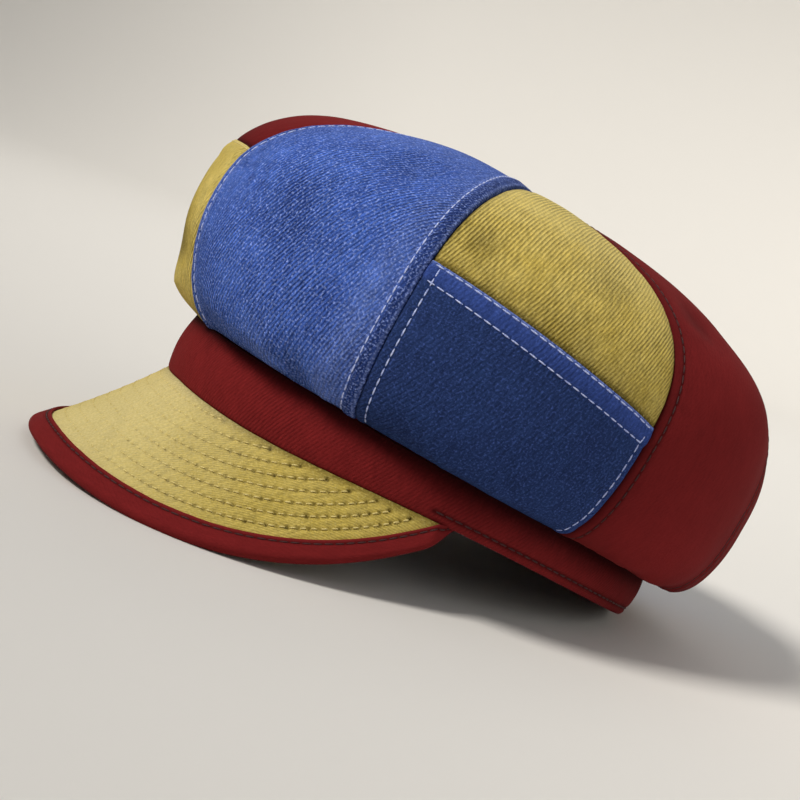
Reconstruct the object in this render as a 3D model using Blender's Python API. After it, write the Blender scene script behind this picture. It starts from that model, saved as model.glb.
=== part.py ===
# A soft octagonal cap: eight patchwork denim gores over a band, with a bound visor.
# Metres, +Z up. The cap's front is -Y and its wearer's left is +X.
# The pieces are shaped as the cap is worn, with the band level, and are then set down as the cap rests.

from math import acos, cos, exp, pi, radians, sin

import bmesh
import bpy
from mathutils import Matrix, Vector

# Band round the head opening
HEAD_LENGTH = 0.197  # outside of the band, front to back
HEAD_WIDTH = 0.173  # outside of the band, side to side
BAND_HEIGHT = 0.021
BAND_WALL = 0.002
BAND_BOW = 0.0015  # the middle of the band stands out this far
BAND_SIDE_ARCH = 0.0056  # the lower edge rises this far over the ears
BAND_FRONT_SAG = 0.0021  # and sags this far where the visor pulls on it
SAG_ANGLE = 35.0  # degrees from the front to the lowest part of the sag
SAG_SPREAD = 28.0  # degrees

# Crown
CROWN_RISE = 0.099  # from the band to the crown's top
OVERHANG = 0.0239  # how far the crown stands out past the band, at the most
APEX_FORWARD = 0.0099  # the gores meet this far in front of the middle
CLOTH = 0.0016  # wall of the gores
PUFF = 0.0026  # the middle of a gore bulges this far
SEAM_DEPTH = 0.0022  # and its seams sink this far
SEAM_GAP = 0.0003  # clearance between neighbouring pieces
LAP_RISE = 0.0007  # a lower patch stands this far over the patch above it
LAP_SPAN = 0.06  # and starts to rise this far below the joint, as a height on the section
PUFF_POWER = 0.6  # below 1, the bulge rises quickly beside its seams
PUFF_START = 0.35  # height where the bulge is full
PUFF_FADE = 1.1  # how quickly it fades towards the top
FOLD_START = 0.1  # height where folds may be full
UNDERSIDE_POWER = 1.2  # above 1, the underside of the overhang is flatter by the band
APEX_RING = 0.007  # radius where a gore starts to close to its tip
APEX_TIP = 0.0012  # radius of the tip itself

# Visor and its binding
VISOR_DEPTH = 0.0529  # from the band to the edge, at the front
VISOR_END_DEPTH = 0.003  # the same where the visor ends
VISOR_REACH = 79.1  # degrees from the front to each end
VISOR_SLOPE_FRONT = 49.3  # degrees below the band's plane
VISOR_SLOPE_END = 71.5
VISOR_CURL = 10.6  # degrees that the slope eases from the band to the edge
VISOR_TAPER = 2.86  # how late the depth starts to fall towards the ends
VISOR_TAPER_POWER = 1.18
VISOR_WALL = 0.002
BINDING_WIDTH = 0.0088
BINDING_WALL = 0.001
BINDING_END_INSET = 0.0005  # the binding stops this far short of the band where the visor is narrow
FOLD_SHOULDER = 0.25  # how round the binding's fold is, as a share of its wall

# How the soft edges flatten on the surface that the cap rests on
REST_PRESS = 0.0006

# Seams between gores, in degrees from the front, the same on both sides
SEAM_ANGLES = (0.0, 49.8, 97.9, 139.5, 180.0)

# Section of the crown at the front, the side and the back. Shares: overhang of OVERHANG, widest (the
# height of the widest place) of CROWN_RISE, droop of BAND_HEIGHT. The two shoulder values are powers.
CROWN_SECTIONS = {
    "front": {"overhang": 0.98, "widest": 0.41, "droop": -0.20, "shoulder_out": 1.88, "shoulder_up": 2.55},
    "side": {"overhang": 0.71, "widest": 0.37, "droop": -0.01, "shoulder_out": 2.09, "shoulder_up": 3.09},
    "back": {"overhang": 1.0, "widest": 0.27, "droop": 0.31, "shoulder_out": 2.32, "shoulder_up": 2.45},
}

# Folds and dents. Angle and spread are degrees round the crown. Height and length are heights on the
# section: 0 at the band, 1 at the widest place, 2 at the top. Lift is a share of PUFF, below 0 for a dent.
FOLDS = (
    {"angle": 44.5, "spread": 2.8, "height": 0.75, "length": 0.70, "lift": 0.45},
    {"angle": 42.0, "spread": 2.4, "height": 0.28, "length": 0.28, "lift": 0.40},
    {"angle": 36.0, "spread": 2.8, "height": 0.25, "length": 0.30, "lift": -0.50},
    {"angle": 28.0, "spread": 3.5, "height": 0.25, "length": 0.28, "lift": 0.30},
    {"angle": 25.5, "spread": 7.0, "height": 1.05, "length": 0.12, "lift": -0.50},
    {"angle": 34.0, "spread": 6.0, "height": 1.38, "length": 0.10, "lift": -0.45},
    {"angle": 55.5, "spread": 4.0, "height": 1.24, "length": 0.08, "lift": -0.60},
    {"angle": 65.5, "spread": 6.0, "height": 1.41, "length": 0.09, "lift": 0.40},
    {"angle": 81.0, "spread": 5.0, "height": 1.34, "length": 0.10, "lift": -0.40},
    {"angle": 110.0, "spread": 5.0, "height": 1.46, "length": 0.08, "lift": -0.50},
    {"angle": 22.0, "spread": 22.0, "height": 1.62, "length": 0.22, "lift": 0.35},
    {"angle": 122.0, "spread": 14.0, "height": 0.56, "length": 0.32, "lift": 0.63},
    {"angle": 126.0, "spread": 14.0, "height": 1.28, "length": 0.14, "lift": 0.95},
    {"angle": 158.0, "spread": 8.0, "height": 1.22, "length": 0.15, "lift": -0.50},
    {"angle": -18.0, "spread": 15.0, "height": 0.95, "length": 0.38, "lift": -1.10},
    {"angle": -15.0, "spread": 14.0, "height": 0.60, "length": 0.19, "lift": -1.20},
    {"angle": -25.0, "spread": 18.0, "height": 1.42, "length": 0.22, "lift": 0.53},
    {"angle": -72.0, "spread": 8.0, "height": 1.18, "length": 0.16, "lift": -0.50},
    {"angle": -118.0, "spread": 12.0, "height": 0.58, "length": 0.30, "lift": 0.70},
    {"angle": -155.0, "spread": 7.0, "height": 1.30, "length": 0.14, "lift": -0.45},
)

# Gores. Side is 1 on the wearer's left and -1 on the right, seam is the nearer seam's place in
# SEAM_ANGLES. A pieced gore has its patch joint at a height by its first seam and by its second.
GORES = (
    {"name": "gore_left_1", "side": 1, "seam": 0, "cloth": "light_blue_denim"},
    {
        "name": "gore_left_2",
        "side": 1,
        "seam": 1,
        "cloth": "dark_blue_denim",
        "upper_cloth": "yellow_denim",
        "joint": (1.117, 1.032),
    },
    {"name": "gore_left_3", "side": 1, "seam": 2, "cloth": "red_denim"},
    {"name": "gore_left_4", "side": 1, "seam": 3, "cloth": "red_denim"},
    {
        "name": "gore_right_1",
        "side": -1,
        "seam": 0,
        "cloth": "yellow_denim",
        "upper_cloth": "red_denim",
        "joint": (1.17, 1.17),
    },
    {"name": "gore_right_2", "side": -1, "seam": 1, "cloth": "dark_blue_denim"},
    {"name": "gore_right_3", "side": -1, "seam": 2, "cloth": "yellow_denim"},
    {"name": "gore_right_4", "side": -1, "seam": 3, "cloth": "light_blue_denim"},
)

# Colours in sRGB, with roughness
CLOTHS = {
    "light_blue_denim": ((0.27, 0.37, 0.63), 0.92),
    "dark_blue_denim": ((0.15, 0.20, 0.36), 0.92),
    "yellow_denim": ((0.71, 0.62, 0.30), 0.90),
    "red_denim": ((0.40, 0.115, 0.12), 0.90),
}

# How finely the pieces are divided
GORE_COLUMNS = 10
GORE_ROWS = 21
SEAM_CROWDING = 0.6  # how much the columns gather towards the seams
ROW_POWER = 1.3  # how much the rows gather just above the widest place
BAND_COLUMNS = 64
BAND_ROWS = 4
VISOR_COLUMNS = 36
VISOR_ROWS = 5
BINDING_SECTIONS = 40

FRONT_REACH = HEAD_LENGTH / 2
SIDE_REACH = HEAD_WIDTH / 2


def linear(colour):
    return tuple(c / 12.92 if c <= 0.04045 else ((c + 0.055) / 1.055) ** 2.4 for c in colour)


def make_cloth(name):
    colour, roughness = CLOTHS[name]
    material = bpy.data.materials.new(name)
    material.use_nodes = True
    shader = material.node_tree.nodes["Principled BSDF"]
    shader.inputs["Base Color"].default_value = (*linear(colour), 1.0)
    shader.inputs["Roughness"].default_value = roughness
    shader.inputs["Metallic"].default_value = 0.0
    return material


# Shape of the band, the crown and the visor, with the band's plane level at z = 0


def section_value(column, angle):
    """One column of CROWN_SECTIONS, blended round the crown."""
    end = CROWN_SECTIONS["front" if cos(angle) > 0 else "back"]
    return end[column] * cos(angle) ** 2 + CROWN_SECTIONS["side"][column] * sin(angle) ** 2


def ellipse_point(angle, outset, z):
    return Vector(((SIDE_REACH + outset) * sin(angle), -(FRONT_REACH + outset) * cos(angle), z))


def ellipse_normal(angle):
    return Vector((sin(angle) / SIDE_REACH, -cos(angle) / FRONT_REACH, 0)).normalized()


def wrapped(angle):
    """The same direction as an angle from -pi to pi."""
    return (angle + pi) % (2 * pi) - pi


def band_edge_height(angle):
    sag = (abs(wrapped(angle)) - radians(SAG_ANGLE)) / radians(SAG_SPREAD)
    return BAND_SIDE_ARCH * sin(angle) ** 2 - BAND_FRONT_SAG * exp(-sag * sag)


def smooth_crown_point(angle, height):
    """The crown without its seams and folds. Height is 0 at the band, 1 at the widest place, 2 at the top."""
    overhang = section_value("overhang", angle) * OVERHANG
    widest = section_value("widest", angle) * CROWN_RISE
    droop = section_value("droop", angle) * BAND_HEIGHT
    if height <= 1:
        turn = height * pi / 2
        z = widest * (1 - cos(turn)) ** UNDERSIDE_POWER - droop * sin(2 * turn)
        return ellipse_point(angle, overhang * sin(turn), BAND_HEIGHT + z)
    turn = (height - 1) * pi / 2
    inwards = max(cos(turn), 0) ** (2 / section_value("shoulder_out", angle))
    upwards = sin(turn) ** (2 / section_value("shoulder_up", angle))
    rim = ellipse_point(angle, overhang, 0)
    z = BAND_HEIGHT + widest + (CROWN_RISE - widest) * upwards
    return Vector((rim.x * inwards, rim.y * inwards - APEX_FORWARD * (1 - inwards), z))


def crown_normal(angle, height):
    """The way out of the smooth crown."""
    step = 0.01
    low = max(height - step, 0)
    round_crown = smooth_crown_point(angle + step, height) - smooth_crown_point(angle - step, height)
    up_crown = smooth_crown_point(angle, height + step) - smooth_crown_point(angle, low)
    return round_crown.cross(up_crown).normalized()


def gore_bulge(across, height):
    """How far a gore stands out, across being 0 at one seam and 1 at the other."""
    fullness = max(sin(pi * across), 0) ** PUFF_POWER
    from_band = min(height / PUFF_START, 1) ** 2
    from_apex = max(cos((height - 1) * pi / 2), 0) ** PUFF_FADE if height > 1 else 1
    return from_band * from_apex * ((PUFF + SEAM_DEPTH) * fullness - SEAM_DEPTH)


def fold_lift(angle, height):
    lift = 0
    for fold in FOLDS:
        aside = wrapped(angle - radians(fold["angle"])) / radians(fold["spread"])
        along = (height - fold["height"]) / fold["length"]
        lift += fold["lift"] * PUFF * exp(-aside * aside - along * along)
    return lift * min(height / FOLD_START, 1)


def height_at_radius(angle, radius):
    """The height where the crown has closed in to a small radius."""
    share = radius / (SIDE_REACH + section_value("overhang", angle) * OVERHANG)
    return 1 + acos(share ** (section_value("shoulder_out", angle) / 2)) * 2 / pi


def visor_depth(across):
    """Depth of the bound visor, across being 0 at the front and 1 or -1 at the ends."""
    taper = (1 - abs(across) ** VISOR_TAPER) ** VISOR_TAPER_POWER
    return VISOR_END_DEPTH + (VISOR_DEPTH - VISOR_END_DEPTH) * taper


def visor_point(across, out, above):
    """A point out along the visor from the band's edge, and above its upper face."""
    angle = across * radians(VISOR_REACH)
    slope = radians(VISOR_SLOPE_FRONT + (VISOR_SLOPE_END - VISOR_SLOPE_FRONT) * across**2)
    curl = radians(VISOR_CURL)
    start = slope + curl / 2
    here = start - curl * out / visor_depth(across)
    length = visor_depth(across) / curl
    forward = length * (sin(start) - sin(here)) + above * sin(here)
    down = length * (cos(here) - cos(start)) - above * cos(here)
    base = ellipse_point(angle, 0, band_edge_height(angle) - SEAM_GAP)
    return base + ellipse_normal(angle) * forward - Vector((0, 0, down))


# Making the pieces


def bent_slab(name, cloth, columns, rows, place, ring=False):
    """A flat slab of cloth, bent to shape. place gives the outer and the inner point of each grid point."""
    bm = bmesh.new()
    bmesh.ops.create_grid(bm, x_segments=columns, y_segments=rows, size=0.5)
    sheet = bmesh.ops.extrude_face_region(bm, geom=bm.faces[:], use_keep_orig=True)
    inner = {item for item in sheet["geom"] if isinstance(item, bmesh.types.BMVert)}
    if ring:
        ends = [face for face in bm.faces if len({round(v.co.x, 6) for v in face.verts}) == 1]
        bmesh.ops.delete(bm, geom=ends, context="FACES")
    for vert in bm.verts:
        points = place(vert.co.x + 0.5, vert.co.y + 0.5)
        vert.co = points[1] if vert in inner else points[0]
    return finish_piece(bm, name, cloth)


def finish_piece(bm, name, cloth):
    bmesh.ops.remove_doubles(bm, verts=bm.verts, dist=1e-6)
    bmesh.ops.recalc_face_normals(bm, faces=bm.faces)
    mesh = bpy.data.meshes.new(name)
    bm.to_mesh(mesh)
    bm.free()
    mesh.shade_smooth()
    mesh.set_sharp_from_angle(angle=radians(50))
    mesh.materials.append(bpy.data.materials[cloth])
    piece = bpy.data.objects.new(name, mesh)
    bpy.context.collection.objects.link(piece)
    return piece


def make_gore(name, cloth, angles, low, high, on_band, to_apex, lap=0):
    """One panel of the crown between two seam angles, and between two heights given at each seam."""
    rows_share = (row_of(max(high)) - row_of(min(low))) / row_of(2)
    rows = max(3, round(GORE_ROWS * rows_share)) + on_band + to_apex
    middle = (angles[0] + angles[1]) / 2

    def place(across, along):
        across += SEAM_CROWDING * ((1 - cos(pi * across)) / 2 - across)
        row = round(along * rows)
        angle = angles[0] + (angles[1] - angles[0]) * across
        if on_band and row == 0:
            angle = inside_seams(angle, 0)
            inside = ellipse_point(angle, -BAND_WALL, BAND_HEIGHT)
            return inside, inside + Vector((0, 0, CLOTH))
        if to_apex and row == rows:
            across = 0.5
            angle = middle
            height = height_at_radius(middle, APEX_TIP)
        else:
            share = (row - on_band) / (rows - on_band - to_apex)
            bottom = low[0] + (low[1] - low[0]) * across
            top = height_at_radius(angle, APEX_RING) if to_apex else joint_height(across)
            height = height_of(row_of(bottom) + (row_of(top) - row_of(bottom)) * share)
            height = inside_joints(angle, height, share)
            angle = inside_seams(angle, height)
        out = crown_normal(angle, height)
        bulge = gore_bulge(across, height) + fold_lift(angle, height)
        lapped = min(max(1 - (joint_height(across) - height) / LAP_SPAN, 0), 1)
        surface = smooth_crown_point(angle, height) + out * (bulge + lap * lapped)
        return surface, surface - out * CLOTH

    def joint_height(across):
        return high[0] + (high[1] - high[0]) * across

    def inside_seams(angle, height):
        """The angle, kept half a gap inside both seams."""
        step = 0.001
        speed = (smooth_crown_point(angle + step, height) - smooth_crown_point(angle, height)).length / step
        margin = SEAM_GAP / 2 / speed
        near, far = sorted(angles)
        return min(max(angle, near + margin), far - margin)

    def inside_joints(angle, height, share):
        """The height, kept half a gap clear of a patch joint."""
        step = 0.001
        speed = (smooth_crown_point(angle, height + step) - smooth_crown_point(angle, height)).length / step
        margin = SEAM_GAP / 2 / speed
        if share == 0 and not on_band:
            return height + margin
        if share == 1 and not to_apex:
            return height - margin
        return height

    return bent_slab(name, cloth, GORE_COLUMNS, rows, place)


def height_of(row):
    """Rows are spaced evenly up to the widest place, and closer together just above it."""
    return row if row <= 1 else 1 + (row - 1) ** ROW_POWER


def row_of(height):
    return height if height <= 1 else 1 + (height - 1) ** (1 / ROW_POWER)


def make_crown():
    pieces = []
    for gore in GORES:
        near, far = SEAM_ANGLES[gore["seam"]], SEAM_ANGLES[gore["seam"] + 1]
        angles = (radians(near) * gore["side"], radians(far) * gore["side"])
        if "joint" in gore:
            joint = gore["joint"]
            name = gore["name"]
            pieces.append(make_gore(name + "_lower", gore["cloth"], angles, (0, 0), joint, 1, 0, LAP_RISE))
            pieces.append(make_gore(name + "_upper", gore["upper_cloth"], angles, joint, (2, 2), 0, 1))
        else:
            pieces.append(make_gore(gore["name"], gore["cloth"], angles, (0, 0), (2, 2), 1, 1))
    return pieces


def make_band():
    def place(across, along):
        angle = across * 2 * pi
        low = band_edge_height(angle)
        z = low + (BAND_HEIGHT - SEAM_GAP - low) * along
        bow = BAND_BOW * sin(pi * along)
        return ellipse_point(angle, bow, z), ellipse_point(angle, bow - BAND_WALL, z)

    return bent_slab("band", "red_denim", BAND_COLUMNS, BAND_ROWS, place, ring=True)


def make_visor():
    def place(across, along):
        side = across * 2 - 1
        depth = visor_depth(side) - BINDING_WALL - SEAM_GAP
        surface = visor_point(side, depth * along, 0)
        if along > 0:
            return surface, visor_point(side, depth * along, -VISOR_WALL)
        # the inner edge is cut level, to lie against the band's lower edge
        angle = side * radians(VISOR_REACH)
        slope = VISOR_SLOPE_FRONT + (VISOR_SLOPE_END - VISOR_SLOPE_FRONT) * side**2 + VISOR_CURL / 2
        return surface, surface - ellipse_normal(angle) * (VISOR_WALL / sin(radians(slope)))

    return bent_slab("visor", "yellow_denim", VISOR_COLUMNS, VISOR_ROWS, place)


def binding_profile(side):
    """The folded strip's section, as distances out along the visor and above its upper face."""
    edge = visor_depth(side)
    width = min(BINDING_WIDTH, edge - BINDING_END_INSET)
    top = SEAM_GAP + BINDING_WALL
    bottom = -VISOR_WALL - top
    fold = min(BINDING_WALL, (top - bottom) / 4)
    shoulder = fold * FOLD_SHOULDER
    return (
        (edge - width, top),
        (edge - fold, top),
        (edge - shoulder, top - fold),
        (edge, (top + bottom) / 2),
        (edge - shoulder, bottom + fold),
        (edge - fold, bottom),
        (edge - width, bottom),
        (edge - width, -VISOR_WALL - SEAM_GAP),
        (edge - BINDING_WALL, -VISOR_WALL - SEAM_GAP),
        (edge - BINDING_WALL, SEAM_GAP),
        (edge - width, SEAM_GAP),
    )


def make_binding():
    corners = len(binding_profile(0))
    bm = bmesh.new()
    bmesh.ops.create_grid(bm, x_segments=corners, y_segments=BINDING_SECTIONS, size=0.5)
    for vert in bm.verts:
        corner = round((vert.co.x + 0.5) * corners) % corners
        # sections gather where the visor curves most, towards its ends
        side = sin(vert.co.y * pi)
        out, above = binding_profile(side)[corner]
        vert.co = visor_point(side, out, above)
    bmesh.ops.remove_doubles(bm, verts=bm.verts, dist=1e-6)
    open_edges = [edge for edge in bm.edges if edge.is_boundary]
    bmesh.ops.holes_fill(bm, edges=open_edges, sides=0)
    return finish_piece(bm, "visor_binding", "red_denim")


# Setting the cap down


def lowest(piece, turn):
    return min((turn @ vert.co).z for vert in piece.data.vertices)


def set_down(pieces, band, binding):
    """Tips the cap back until the visor's edge and the rear of the band both touch, then centres it."""
    flat, steep = 0.0, radians(45)
    for _ in range(40):
        tilt = (flat + steep) / 2
        turn = Matrix.Rotation(-tilt, 4, "X")
        if lowest(binding, turn) < lowest(band, turn):
            flat = tilt
        else:
            steep = tilt
    floor = lowest(band, turn) + REST_PRESS
    corners = [turn @ vert.co for piece in pieces for vert in piece.data.vertices]
    middle_x = (min(c.x for c in corners) + max(c.x for c in corners)) / 2
    middle_y = (min(c.y for c in corners) + max(c.y for c in corners)) / 2
    place = Matrix.Translation((-middle_x, -middle_y, -floor)) @ turn
    for piece in pieces:
        piece.data.transform(place)
        for vert in piece.data.vertices:
            vert.co.z = max(vert.co.z, 0.0)


def main():
    for old in list(bpy.data.objects):
        bpy.data.objects.remove(old, do_unlink=True)
    for cloth in CLOTHS:
        make_cloth(cloth)
    band = make_band()
    binding = make_binding()
    pieces = [*make_crown(), make_visor(), band, binding]
    set_down(pieces, band, binding)


main()
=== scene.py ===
# Looks of a soft octagonal cap: eight patchwork denim gores, a band, a stitched visor and its binding.
# Metres, +Z up, the cap's front is -Y and its wearer's left is +X.

from bisect import bisect_right
from functools import lru_cache
from itertools import accumulate
from math import acos, cos, exp, pi, radians, sin, sqrt

import bmesh
import bpy
from mathutils import Matrix, Vector, noise
from mathutils.kdtree import KDTree


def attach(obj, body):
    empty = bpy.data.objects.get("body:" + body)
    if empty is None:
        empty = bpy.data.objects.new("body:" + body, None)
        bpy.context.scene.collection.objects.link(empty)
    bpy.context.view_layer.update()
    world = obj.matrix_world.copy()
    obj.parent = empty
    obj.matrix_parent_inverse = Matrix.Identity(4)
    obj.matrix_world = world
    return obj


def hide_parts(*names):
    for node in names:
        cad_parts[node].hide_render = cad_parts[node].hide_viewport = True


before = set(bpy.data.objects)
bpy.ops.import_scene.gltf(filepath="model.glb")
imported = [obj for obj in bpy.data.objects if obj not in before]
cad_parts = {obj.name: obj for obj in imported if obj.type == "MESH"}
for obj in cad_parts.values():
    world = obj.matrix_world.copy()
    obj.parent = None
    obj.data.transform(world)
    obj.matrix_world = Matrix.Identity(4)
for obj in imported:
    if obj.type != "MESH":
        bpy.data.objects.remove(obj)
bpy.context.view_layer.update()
print("frame loaded:", len(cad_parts), "nodes")

# sizes of the cap as it is worn, with its band level, in metres and degrees

band = {
    "length": 0.197,
    "width": 0.173,
    "height": 0.021,
    "wall": 0.002,
    "bow": 0.0015,
    "sideArch": 0.0056,
    "frontSag": 0.0021,
    "sagAngle": 35,
    "sagSpread": 28,
    "columns": 420,
    "rows": 30,
    "stitchUp": 0.0032,  # stitch line above the lower edge, behind the visor
    "stitchFrom": 72,  # degrees from the front where that line comes out from under the visor
    "stitchShade": 0.8,
    "edgeRoll": 0.0007,
    "edgeWear": 0.35,
    "edgeWearReach": 0.0007,
    "wave": 0.0004,
    "shadeFront": 0.16,  # share of the band's height that the crown shades at the front
    "shadeMore": 0.26,  # and how much more at the sides, where the crown hangs lower
    "shadeFrom": 20,
    "shadeTo": 75,
}

crown = {
    "rise": 0.099,
    "overhang": 0.0239,
    "apexForward": 0.0099,
    "cloth": 0.0016,
    "puff": 0.0026,
    "seamDepth": 0.0022,
    "puffPower": 0.6,
    "puffStart": 0.35,
    "puffFade": 1.1,
    "foldStart": 0.1,
    "undersidePower": 1.2,
    "apexRing": 0.007,
    "apexTip": 0.0004,
    "seamGap": 0.00016,
    "seamCrowding": 0.5,
    "rowPower": 1.25,
    "seams": (0, 49.8, 97.9, 139.5, 180),
    "arcOverChord": 1.03,  # of a gore's width
}

# section of the crown: shares of overhang, rise and band height, then the powers of its shoulder
crownSections = {
    "front": {"overhang": 0.98, "widest": 0.41, "droop": -0.20, "shoulderOut": 1.88, "shoulderUp": 2.55},
    "side": {"overhang": 0.71, "widest": 0.37, "droop": -0.01, "shoulderOut": 2.09, "shoulderUp": 3.09},
    "back": {"overhang": 1.0, "widest": 0.27, "droop": 0.31, "shoulderOut": 2.32, "shoulderUp": 2.45},
}

# degrees round the crown, heights on the section (0 band, 1 widest, 2 top), lift as a share of the puff
foldColumns = ("angle", "spread", "height", "length", "lift")
folds = [
    dict(zip(foldColumns, row))
    for row in (
        (44.5, 2.8, 0.75, 0.70, 0.45),
        (42.0, 2.4, 0.28, 0.28, 0.40),
        (36.0, 2.8, 0.25, 0.30, -0.50),
        (28.0, 3.5, 0.25, 0.28, 0.30),
        (25.5, 7.0, 1.05, 0.12, -0.50),
        (34.0, 6.0, 1.38, 0.10, -0.45),
        (55.5, 4.0, 1.24, 0.08, -0.60),
        (65.5, 6.0, 1.41, 0.09, 0.40),
        (81.0, 5.0, 1.34, 0.10, -0.40),
        (110.0, 5.0, 1.46, 0.08, -0.50),
        (22.0, 22.0, 1.62, 0.22, 0.35),
        (122.0, 14.0, 0.56, 0.32, 0.63),
        (126.0, 14.0, 1.28, 0.14, 0.95),
        (158.0, 8.0, 1.22, 0.15, -0.50),
        (-18.0, 15.0, 0.95, 0.38, -1.10),
        (-15.0, 14.0, 0.60, 0.19, -1.20),
        (-25.0, 18.0, 1.42, 0.22, 0.53),
        (-72.0, 8.0, 1.18, 0.16, -0.50),
        (-118.0, 12.0, 0.58, 0.30, 0.70),
        (-155.0, 7.0, 1.30, 0.14, -0.45),
    )
]

# how the cap lies on the floor: tipped back about X and moved there
rest = {"tilt": 11.372634, "shift": (-0.00019125, 0.00360247, 0.01882313)}
restPlace = Matrix.Translation(rest["shift"]) @ Matrix.Rotation(radians(-rest["tilt"]), 4, "X")

frontReach = band["length"] / 2
sideReach = band["width"] / 2


@lru_cache(maxsize=None)
def sectionValue(column, angle):
    end = crownSections["front" if cos(angle) > 0 else "back"]
    return end[column] * cos(angle) ** 2 + crownSections["side"][column] * sin(angle) ** 2


def ellipsePoint(angle, outset, z):
    return Vector(((sideReach + outset) * sin(angle), -(frontReach + outset) * cos(angle), z))


def ellipseNormal(angle):
    return Vector((sin(angle) / sideReach, -cos(angle) / frontReach, 0)).normalized()


def wrapped(angle):
    return (angle + pi) % (2 * pi) - pi


def bandEdgeHeight(angle):
    sag = (abs(wrapped(angle)) - radians(band["sagAngle"])) / radians(band["sagSpread"])
    return band["sideArch"] * sin(angle) ** 2 - band["frontSag"] * exp(-sag * sag)


def smoothCrownPoint(angle, height):
    overhang = sectionValue("overhang", angle) * crown["overhang"]
    widest = sectionValue("widest", angle) * crown["rise"]
    droop = sectionValue("droop", angle) * band["height"]
    if height <= 1:
        turn = height * pi / 2
        z = widest * (1 - cos(turn)) ** crown["undersidePower"] - droop * sin(2 * turn)
        return ellipsePoint(angle, overhang * sin(turn), band["height"] + z)
    turn = (height - 1) * pi / 2
    inwards = max(cos(turn), 0) ** (2 / sectionValue("shoulderOut", angle))
    upwards = sin(turn) ** (2 / sectionValue("shoulderUp", angle))
    rim = ellipsePoint(angle, overhang, 0)
    z = band["height"] + widest + (crown["rise"] - widest) * upwards
    return Vector((rim.x * inwards, rim.y * inwards - crown["apexForward"] * (1 - inwards), z))


def crownFrame(angle, height):
    # the point, the way out, and how many metres one radian and one unit of height are worth there
    step = 0.01
    low = max(height - step, 0)
    roundCrown = smoothCrownPoint(angle + step, height) - smoothCrownPoint(angle - step, height)
    upCrown = smoothCrownPoint(angle, height + step) - smoothCrownPoint(angle, low)
    out = roundCrown.cross(upCrown).normalized()
    upSpeed = upCrown.length / (height + step - low)
    return smoothCrownPoint(angle, height), out, roundCrown.length / (2 * step), upSpeed


def goreBulge(across, height):
    fullness = max(sin(pi * across), 0) ** crown["puffPower"]
    fromBand = min(height / crown["puffStart"], 1) ** 2
    fromApex = max(cos((height - 1) * pi / 2), 0) ** crown["puffFade"] if height > 1 else 1
    return fromBand * fromApex * ((crown["puff"] + crown["seamDepth"]) * fullness - crown["seamDepth"])


def foldLift(angle, height):
    lift = 0
    for fold in folds:
        aside = wrapped(angle - radians(fold["angle"])) / radians(fold["spread"])
        along = (height - fold["height"]) / fold["length"]
        if abs(aside) < 3 and abs(along) < 3:
            lift += fold["lift"] * crown["puff"] * exp(-aside * aside - along * along)
    return lift * min(height / crown["foldStart"], 1)


def heightAtRadius(angle, radius):
    share = radius / (sideReach + sectionValue("overhang", angle) * crown["overhang"])
    return 1 + acos(share ** (sectionValue("shoulderOut", angle) / 2)) * 2 / pi


def rowOf(height):
    return height if height <= 1 else 1 + (height - 1) ** (1 / crown["rowPower"])


def heightOf(row):
    return row if row <= 1 else 1 + (row - 1) ** crown["rowPower"]


# a gore edge's rise is how far its folded allowances lift the cloth, and stitch is how far in its stitch
# line runs, 0 where there is none. level evens out that share of the dip at the seam, strip is how strong
# the painted seam shade is up to the stitch line, and worn is how far in the cloth is worn pale
plainEdge = {"rise": 0.0003, "stitch": 0.0034}
faintEdge = {"rise": 0.0002, "stitch": 0.0034, "level": 0.8}

# heights of the joint between two patches of a gore, at its first seam and at its last
leftJoint = (1.117, 1.032)
rightJoint = (1.17, 1.17)

# side 1 is the wearer's left, and seams count from the front. patchStitches are distances below the joint
goreColumns = ("node", "side", "seam", "cloth", "thread", "grid", "edges")
gores = [
    dict(zip(goreColumns, row), **patch)
    for *row, patch in (
        (
            "gore_left_1", 1, 0, "lightBlue", "white", (104, 160),
            (
                {"rise": 0.0006, "stitch": 0.0058, "level": 0.3, "strip": 0.3, "worn": 0.0018},
                {"rise": 0.0007, "stitch": 0.0050},
            ),
            {},
        ),
        (
            "gore_left_2_lower", 1, 1, "darkBlue", "white", (104, 96),
            ({"rise": 0.0003, "stitch": 0.0040}, {"rise": 0.0002, "stitch": 0.0034}),
            {
                "joint": leftJoint,
                "patchStitches": (0.0010, 0.0070),
                # the paler double cloth ends between these distances from the joint, and from the last seam
                "facing": (0.0060, 0.0076),
                "sideFacing": (0.0030, 0.0042),
                "sideShade": 0.30,
            },
        ),
        (
            "gore_left_2_upper", 1, 1, "yellow", "yellow", (104, 90),
            ({"rise": -0.0004, "stitch": 0}, {"rise": -0.0001, "stitch": 0}),
            {"joint": leftJoint, "upper": True},
        ),
        ("gore_left_3", 1, 2, "red", "red", (96, 150), ({"rise": 0.0004, "stitch": 0.0033}, faintEdge), {}),
        ("gore_left_4", 1, 3, "red", "red", (90, 130), (faintEdge, plainEdge), {}),
        (
            "gore_right_1_lower", -1, 0, "yellow", "yellow", (80, 64),
            ({"rise": -0.0004, "stitch": 0}, plainEdge),
            # painted light: this face is turned to the lamp and is painted paler, with less painted shade in
            # its hollows
            {"joint": rightJoint, "patchStitches": (0.0012,), "bleached": 0.9},
        ),
        (
            "gore_right_1_upper", -1, 0, "red", "red", (80, 64),
            ({"rise": -0.0003, "stitch": 0}, plainEdge),
            {"joint": rightJoint, "upper": True},
        ),
        ("gore_right_2", -1, 1, "darkBlue", "white", (80, 110), (plainEdge, plainEdge), {}),
        ("gore_right_3", -1, 2, "yellow", "yellow", (80, 110), (plainEdge, plainEdge), {}),
        ("gore_right_4", -1, 3, "lightBlue", "white", (80, 110), (plainEdge, plainEdge), {}),
    )
]

seams = [radians(angle) for angle in crown["seams"]]

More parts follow.
